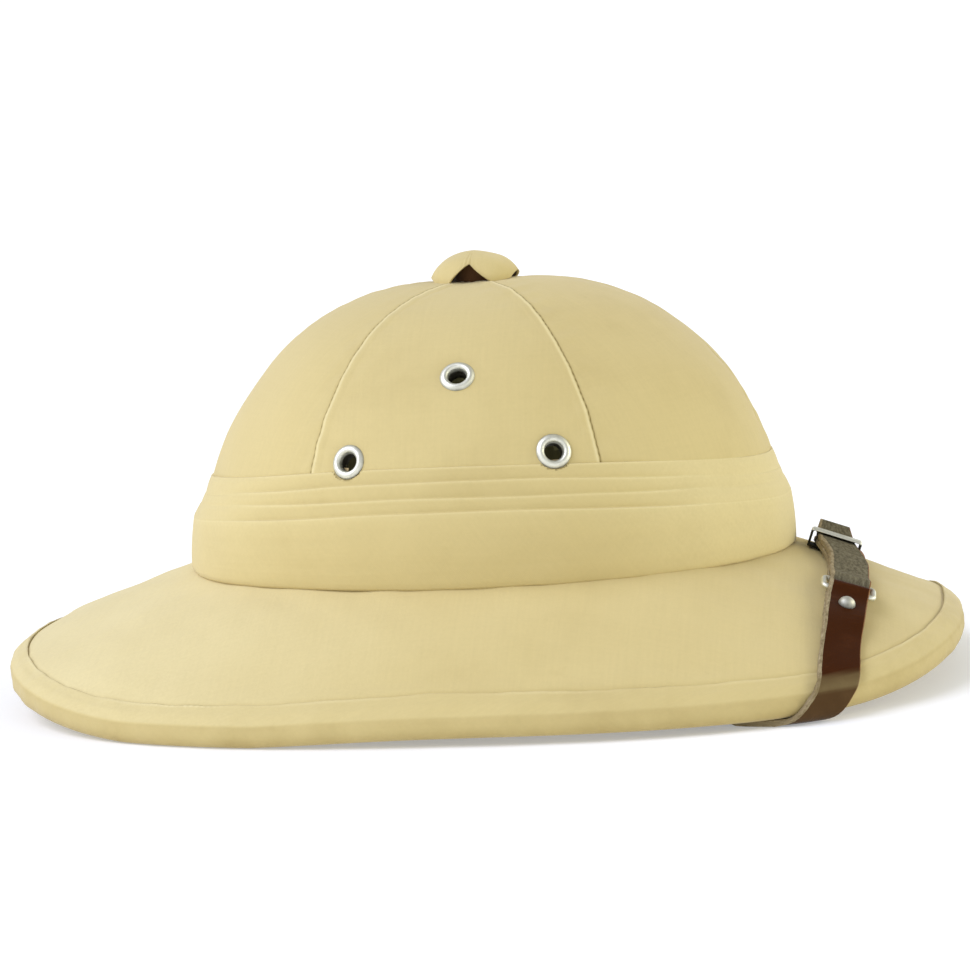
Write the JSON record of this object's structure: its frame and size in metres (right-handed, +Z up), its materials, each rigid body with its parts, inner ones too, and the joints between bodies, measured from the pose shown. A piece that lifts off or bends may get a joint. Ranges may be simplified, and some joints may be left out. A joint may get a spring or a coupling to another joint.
{
  "type": "pith helmet",
  "caption": "Cloth-covered sun helmet with a domed gored crown, pleated band, wide sloping brim, ventilator button, eyelets and a leather chin strap laid up over the front of the brim.",
  "frame": {"origin": "middle of the bounding box at the height of the surface that the hat rests on", "axes": "+X to the front of the hat, +Y to the wearer's left, +Z up through the crown"},
  "size_m": [0.3496, 0.2842, 0.1567],
  "materials": {
    "moulded_body": "pressed fibre body, matte",
    "cloth": "tightly woven khaki cotton, matte",
    "strap_leather": "dark brown, polished outside and rough inside",
    "nickel": "nickel plate, slightly worn"
  },
  "bodies": {
    "root": {"body_crown_1": "moulded_body", "body_crown_2": "moulded_body", "body_crown_3": "moulded_body", "body_crown_4": "moulded_body", "body_crown_5": "moulded_body", "body_crown_6": "moulded_body", "body_brim_1": "moulded_body", "body_brim_2": "moulded_body", "body_brim_3": "moulded_body", "body_brim_4": "moulded_body", "body_brim_5": "moulded_body", "body_brim_6": "moulded_body", "crown_panel_1": "cloth", "crown_panel_2": "cloth", "crown_panel_3": "cloth", "crown_panel_4": "cloth", "crown_panel_5": "cloth", "crown_panel_6": "cloth", "brim_cover": "cloth", "edge_band": "cloth", "puggaree": "cloth", "top_cap": "cloth", "strap_long": "strap_leather", "strap_short": "strap_leather", "eyelet_right_top": "nickel", "eyelet_right_front": "nickel", "eyelet_right_rear": "nickel", "eyelet_left_top": "nickel", "eyelet_left_front": "nickel", "eyelet_left_rear": "nickel", "strap_loop": "nickel", "slide_buckle": "nickel", "strap_rivet": "nickel", "strap_post_right": "nickel", "strap_post_left": "nickel"}
  },
  "joints": []
}
